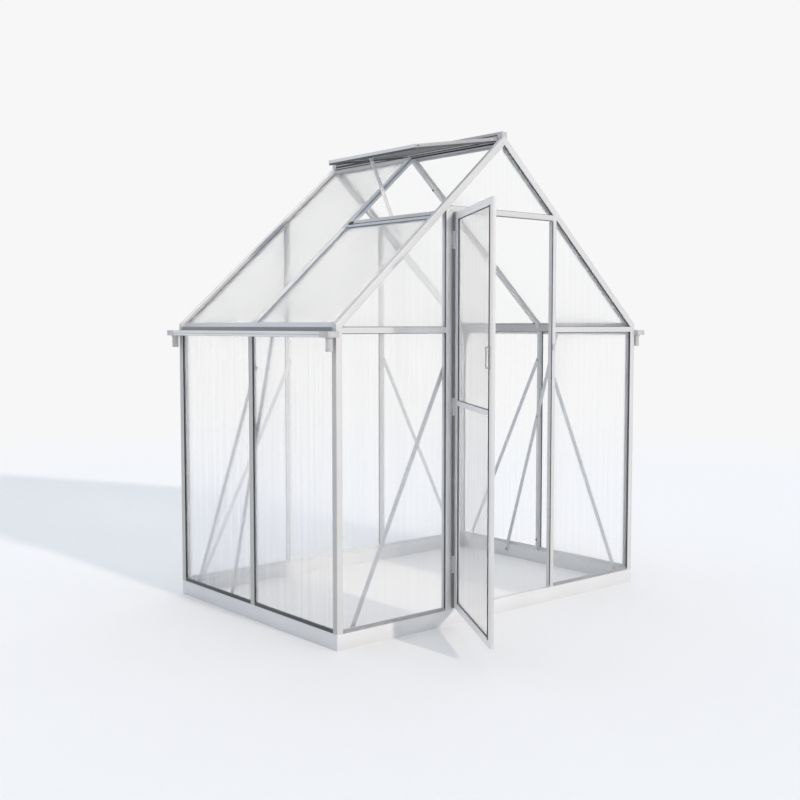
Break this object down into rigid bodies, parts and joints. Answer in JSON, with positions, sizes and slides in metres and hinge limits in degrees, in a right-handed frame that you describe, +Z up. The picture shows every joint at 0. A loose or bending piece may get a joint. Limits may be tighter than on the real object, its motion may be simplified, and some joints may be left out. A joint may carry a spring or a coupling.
{
  "type": "hobby greenhouse",
  "caption": "Single-span gable greenhouse with slim metal glazing bars, ribbed clear sheets, a hinged door, a propped roof vent and side gutters.",
  "frame": {"origin": "floor level under the centre of the base frame, midway between the four ground anchor holes", "axes": "+X across the gable to the right seen from the door, +Y from the door end to the rear, +Z up"},
  "size_m": [2.01, 1.8701, 2.1994],
  "materials": {
    "metal_profile": "satin mill-finish extrusion",
    "brace_metal": "plain rolled flat bar",
    "steel_fixings": "zinc plated",
    "grey_plastic": "moulded light grey",
    "dark_plastic": "moulded dark grey",
    "ribbed_sheet": "clear twin-wall sheet with upright ribs",
    "roof_sheet": "slightly frosted twin-wall sheet",
    "clear_sheet": "clear smooth sheet"
  },
  "bodies": {
    "frame": {"base_rail_front": "metal_profile", "base_rail_rear": "metal_profile", "base_rail_left": "metal_profile", "base_rail_right": "metal_profile", "base_corner_brackets": "steel_fixings", "corner_post_front_left": "metal_profile", "corner_post_front_right": "metal_profile", "corner_post_rear_left": "metal_profile", "corner_post_rear_right": "metal_profile", "side_post_left": "metal_profile", "side_post_right": "metal_profile", "door_post_left": "metal_profile", "door_post_right": "metal_profile", "rear_post_left": "metal_profile", "rear_post_right": "metal_profile", "tie_beams_front": "metal_profile", "tie_beams_rear": "metal_profile", "door_head_rail": "metal_profile", "rafter_front_left": "metal_profile", "rafter_front_right": "metal_profile", "rafter_rear_left": "metal_profile", "rafter_rear_right": "metal_profile", "rafter_middle_left": "metal_profile", "rafter_middle_right": "metal_profile", "eave_beam_left": "metal_profile", "eave_beam_right": "metal_profile", "ridge_beam": "metal_profile", "ridge_end_caps": "grey_plastic", "vent_hinge_rod": "steel_fixings", "vent_sill": "metal_profile", "gutter_left": "metal_profile", "gutter_right": "metal_profile", "gutter_outlets": "grey_plastic", "gable_braces": "brace_metal", "side_braces": "brace_metal", "brace_bolts": "steel_fixings", "side_panes": "ribbed_sheet", "front_panes_lower": "clear_sheet", "front_panes_upper": "clear_sheet", "rear_panes_lower": "ribbed_sheet", "rear_panes_upper": "clear_sheet", "roof_panes": "roof_sheet", "roof_pane_below_vent": "roof_sheet", "post_hinge_leaves": "metal_profile", "hinge_pins": "steel_fixings", "stay_peg_bracket": "steel_fixings"},
    "door": {"door_hinge_stile": "metal_profile", "door_free_stile": "metal_profile", "door_rails": "metal_profile", "door_mid_rail": "metal_profile", "door_panes": "ribbed_sheet", "door_hinge_leaves": "metal_profile", "door_pull": "dark_plastic"},
    "turn_button": {"turn_button": "grey_plastic"},
    "vent": {"vent_top_rail": "metal_profile", "vent_bottom_rail": "metal_profile", "vent_side_rails": "metal_profile", "vent_pane": "roof_sheet"},
    "vent_stay": {"vent_stay": "brace_metal"}
  },
  "joints": [
    {"name": "door_hinge", "type": "hinge", "parent": "frame", "child": "door", "pos_m": [-0.313, -0.646, 0.972], "axis": [0, 0, 1], "range_deg": [-44.4, 120.6]},
    {"name": "button_turn", "type": "hinge", "parent": "frame", "child": "turn_button", "pos_m": [0.338, -0.64, 1.232], "axis": [0, 1, 0], "range_deg": [-90, 90]},
    {"name": "vent_hinge", "type": "hinge", "parent": "frame", "child": "vent", "pos_m": [-0.028, -0.309, 2.16678], "axis": [0, 1, 0], "range_deg": [-32.3, 0]},
    {"name": "stay_pivot", "type": "hinge", "parent": "vent", "child": "vent_stay", "pos_m": [-0.48922, -0.289, 2.07117], "axis": [0, 1, 0], "range_deg": [0, 16]}
  ],
  "couplings": [
    {"joint": "stay_pivot", "follows": "vent_hinge", "ratio": -0.4524}
  ]
}
